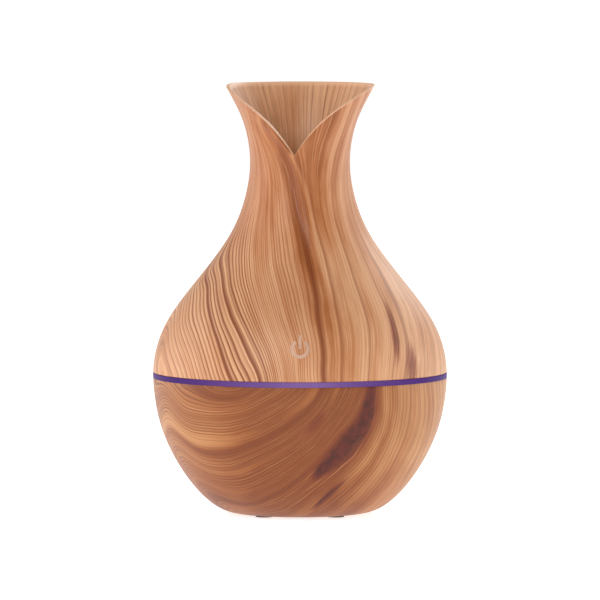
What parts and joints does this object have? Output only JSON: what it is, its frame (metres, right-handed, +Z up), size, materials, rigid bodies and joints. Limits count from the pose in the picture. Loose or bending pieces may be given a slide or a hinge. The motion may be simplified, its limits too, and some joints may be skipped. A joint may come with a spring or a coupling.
{
  "type": "essential oil diffuser",
  "caption": "Bulbous vase-shaped ultrasonic aroma diffuser: wood-grain bowl and lift-off cover with a slim flared neck, an overlapping V-notched mouth and a glowing seam ring.",
  "frame": {"origin": "middle of the circle of feet, on the surface the object stands on", "axes": "+Z up, -Y to the front (the power symbol), +Y to the rear (the USB inlet)"},
  "size_m": [0.097, 0.097, 0.142],
  "materials": {
    "lower_shell": "satin wood-grain print",
    "intake_grille": "matte",
    "intake_filter": "open foam",
    "rubber_feet": "matte",
    "steel_screw": "zinc plated",
    "light_ring": "translucent, lit from inside",
    "pcb": "solder mask",
    "leds": "clear lens on white body",
    "white_pp": "satin",
    "silicone": "matte",
    "transducer_disc": "ground steel with a brass-coloured back",
    "fan_black": "moulded",
    "bronze": "sintered",
    "stator": "enamelled windings",
    "magnet": "ferrite",
    "usb_steel": "plated",
    "black_plastic": "moulded",
    "capacitor": "sleeved can",
    "connector": "nylon",
    "spring_steel": "gold flash",
    "lead_black": "PVC",
    "lead_red": "PVC",
    "lead_white": "PVC",
    "lead_blue": "PVC",
    "upper_cover": "satin wood-grain print",
    "power_icon": "satin printed symbol"
  },
  "bodies": {
    "base": {"lower_shell": "lower_shell", "intake_grille": "intake_grille", "intake_filter": "intake_filter", "rubber_feet": "rubber_feet", "base_screws": "steel_screw", "light_ring": "light_ring", "led_board": "pcb", "leds": "leds", "water_tank": "white_pp", "tank_collar": "white_pp", "air_duct": "white_pp", "tank_posts": "white_pp", "tank_seal": "silicone", "transducer_disc": "transducer_disc", "transducer_gasket": "silicone", "transducer_retainer": "white_pp", "retainer_screws": "steel_screw", "fan_frame": "fan_black", "fan_bearing": "bronze", "fan_stator": "stator", "fan_screws": "steel_screw", "main_board": "pcb", "board_screws": "steel_screw", "usb_socket": "usb_steel", "usb_tongue": "black_plastic", "board_chips": "black_plastic", "inductor": "black_plastic", "capacitor": "capacitor", "wire_connectors": "connector", "touch_housing": "white_pp", "touch_board": "pcb", "touch_spring": "spring_steel", "fan_cable": "lead_black", "transducer_cable": "lead_red", "led_cable": "lead_white", "touch_cable": "lead_blue"},
    "impeller": {"fan_impeller": "fan_black", "fan_magnet": "magnet", "fan_shaft": "steel_screw"},
    "cover": {"upper_cover": "upper_cover", "power_icon": "power_icon", "mist_guard": "white_pp", "guard_screws": "steel_screw"}
  },
  "joints": [
    {"name": "cover_lift", "type": "slide", "parent": "base", "child": "cover", "axis": [0, 0, 1], "range_m": [0, 0.06]},
    {"name": "impeller_spin", "type": "hinge", "parent": "base", "child": "impeller", "pos_m": [0, 0, 0.006], "axis": [0, 0, 1], "continuous": true}
  ]
}
